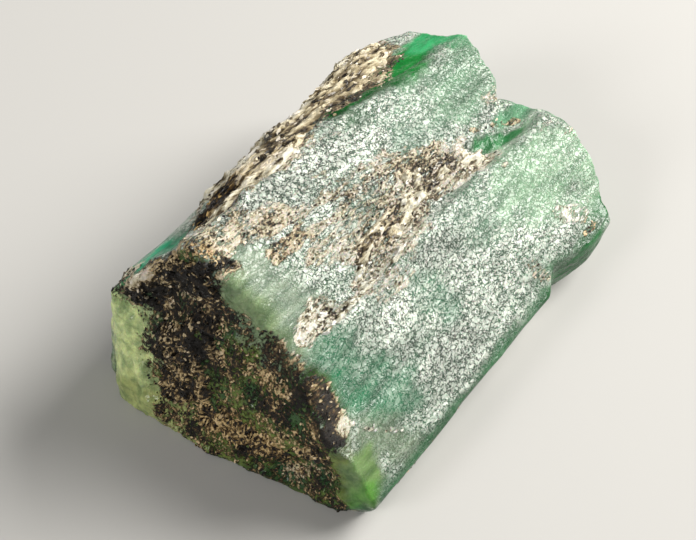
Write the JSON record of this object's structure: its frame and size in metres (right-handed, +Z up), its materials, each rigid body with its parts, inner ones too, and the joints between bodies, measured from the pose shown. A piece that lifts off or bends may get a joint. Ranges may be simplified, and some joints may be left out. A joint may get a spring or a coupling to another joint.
{
  "type": "rough emerald crystal with mica schist",
  "caption": "Rough green beryl prisms grown together side by side, snapped at both ends, crusted with remnants of mica schist, lying on one flank.",
  "frame": {"origin": "on the flat underside, under the middle of the stone's bounding box", "axes": "+X along the prisms from the near break to the far break, +Y to the left, +Z up from the surface that the stone lies on"},
  "size_m": [0.024, 0.0158, 0.0103],
  "materials": {
    "beryl": "cloudy translucent green beryl, its prism faces frosted and finely striated along the prisms",
    "mica_schist": "rough brown and cream mica with small bright flakes"
  },
  "bodies": {
    "root": {"emerald_crystal": "beryl", "mica_crust_end": "mica_schist", "mica_crust_flank": "mica_schist", "mica_crust_seam": "mica_schist"}
  },
  "joints": []
}
